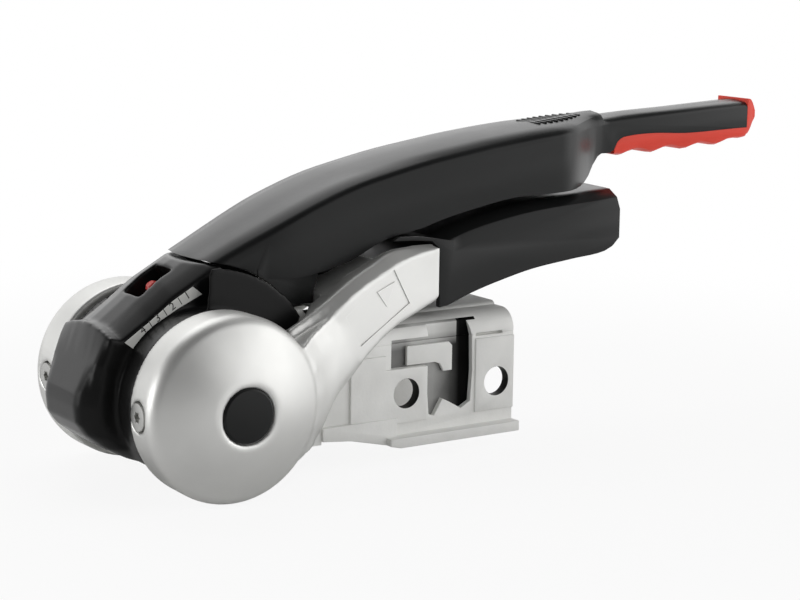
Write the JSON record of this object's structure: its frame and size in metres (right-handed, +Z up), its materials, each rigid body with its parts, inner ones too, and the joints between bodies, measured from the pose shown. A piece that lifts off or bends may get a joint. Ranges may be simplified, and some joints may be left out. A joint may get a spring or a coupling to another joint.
{
  "type": "trailer coupling head",
  "caption": "Ball coupling head with a built-in stabiliser: domed side bearings, a long lift handle, a short clamp lever and a drawbar socket.",
  "frame": {"origin": "centre of the towing ball, on the axis through both domes", "axes": "+X back to the trailer, -Y to the vehicle's left, +Z up"},
  "size_m": [0.4065, 0.1438, 0.1645],
  "materials": {
    "zinc_casting": "bright galvanised cast steel",
    "silver_casting": "satin silver casting",
    "bright_steel": "zinc plated",
    "black_steel": "black coated steel",
    "bronze": "plain bearing bronze",
    "friction_lining": "matt friction compound",
    "bumper_rubber": "soft matt rubber",
    "black_plastic": "fine-grained moulded plastic",
    "red_grip": "soft moulded grip",
    "red_plastic": "moulded red button",
    "white_label": "printed film label"
  },
  "bodies": {
    "housing": {"coupling_housing": "zinc_casting", "socket_sides": "zinc_casting", "socket_saddle": "zinc_casting", "socket_tongues": "bright_steel", "cheek_bushes": "bronze", "front_pad_carrier": "black_steel", "front_pad_lining": "friction_lining", "soft_dock": "bumper_rubber", "wear_scales": "white_label", "indicator_housing": "bright_steel", "indicator_spring": "bright_steel", "lever_pivot_pin": "bright_steel", "clamp_pivot_pin": "bright_steel", "pin_clips": "bright_steel"},
    "stabiliser": {"stabiliser_fork": "silver_casting", "hub_plugs": "black_plastic", "rim_screws": "bright_steel", "handle_shell": "black_plastic", "handle_screws": "bright_steel", "soft_grip": "red_grip"},
    "lever": {"coupling_lever": "black_steel", "lever_cover": "black_plastic", "cover_screws": "bright_steel"},
    "clamp": {"ball_clamp": "black_steel", "clamp_lining": "friction_lining", "clamp_spring": "bright_steel"},
    "left_pad": {"left_pad_carrier": "bright_steel", "left_pad_lining": "friction_lining"},
    "right_pad": {"right_pad_carrier": "bright_steel", "right_pad_lining": "friction_lining"},
    "indicator": {"indicator_pin": "red_plastic"}
  },
  "joints": [
    {"name": "handle_lift", "type": "hinge", "parent": "housing", "child": "stabiliser", "pos_m": [0, 0, 0], "axis": [0, -1, 0], "range_deg": [0, 65]},
    {"name": "lever_lift", "type": "hinge", "parent": "housing", "child": "lever", "pos_m": [0.042, 0, 0.029], "axis": [0, -1, 0], "range_deg": [0, 39]},
    {"name": "clamp_swing", "type": "hinge", "parent": "housing", "child": "clamp", "pos_m": [0.042, 0, 0.013], "axis": [0, -1, 0], "range_deg": [0, 25]},
    {"name": "left_pad_draw", "type": "slide", "parent": "housing", "child": "left_pad", "axis": [0, -1, 0], "range_m": [0, 0.002]},
    {"name": "right_pad_draw", "type": "slide", "parent": "housing", "child": "right_pad", "axis": [0, 1, 0], "range_m": [0, 0.002]},
    {"name": "indicator_press", "type": "slide", "parent": "housing", "child": "indicator", "axis": [-0.6018, 0, 0.7986], "range_m": [-0.0025, 0], "stiffness_N_per_m": 150}
  ],
  "couplings": [
    {"joint": "lever_lift", "follows": "handle_lift", "ratio": 0.6},
    {"joint": "clamp_swing", "follows": "handle_lift", "ratio": 0.38},
    {"joint": "left_pad_draw", "follows": "handle_lift", "m_per_rad": 0.00176},
    {"joint": "right_pad_draw", "follows": "handle_lift", "m_per_rad": 0.00176}
  ]
}
